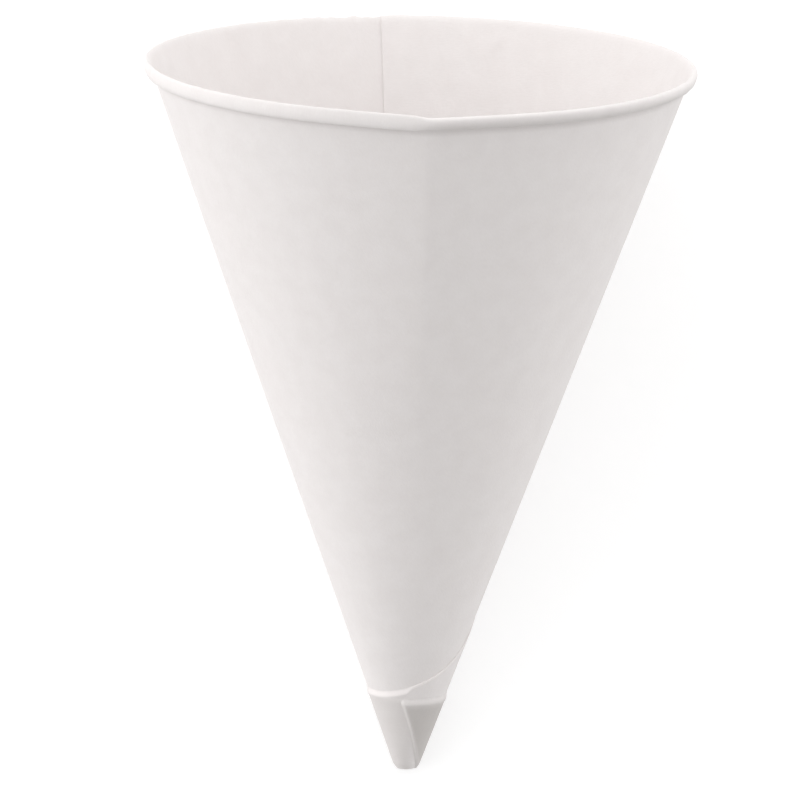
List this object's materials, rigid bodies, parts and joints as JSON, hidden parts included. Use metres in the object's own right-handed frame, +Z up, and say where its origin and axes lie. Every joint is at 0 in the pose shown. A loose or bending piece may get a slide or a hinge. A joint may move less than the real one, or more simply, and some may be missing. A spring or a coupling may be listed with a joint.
{
  "type": "cone paper cup",
  "caption": "Cone paper cup wound from one sheet, with an outward rolled rim, a lap down the back and a tail wrapped round its blunt tip, lying on its back.",
  "frame": {"origin": "on the plane the cup lies on, below the centre of its bounding box", "axes": "+Y from the tip to the mouth along the floor, +Z up from the floor, +X to the cup's right seen from its front, which faces up"},
  "size_m": [0.073, 0.1022, 0.0684],
  "materials": {
    "white_paper": "uncoated matt white paper"
  },
  "bodies": {
    "root": {"cone_cup": "white_paper"}
  },
  "joints": []
}
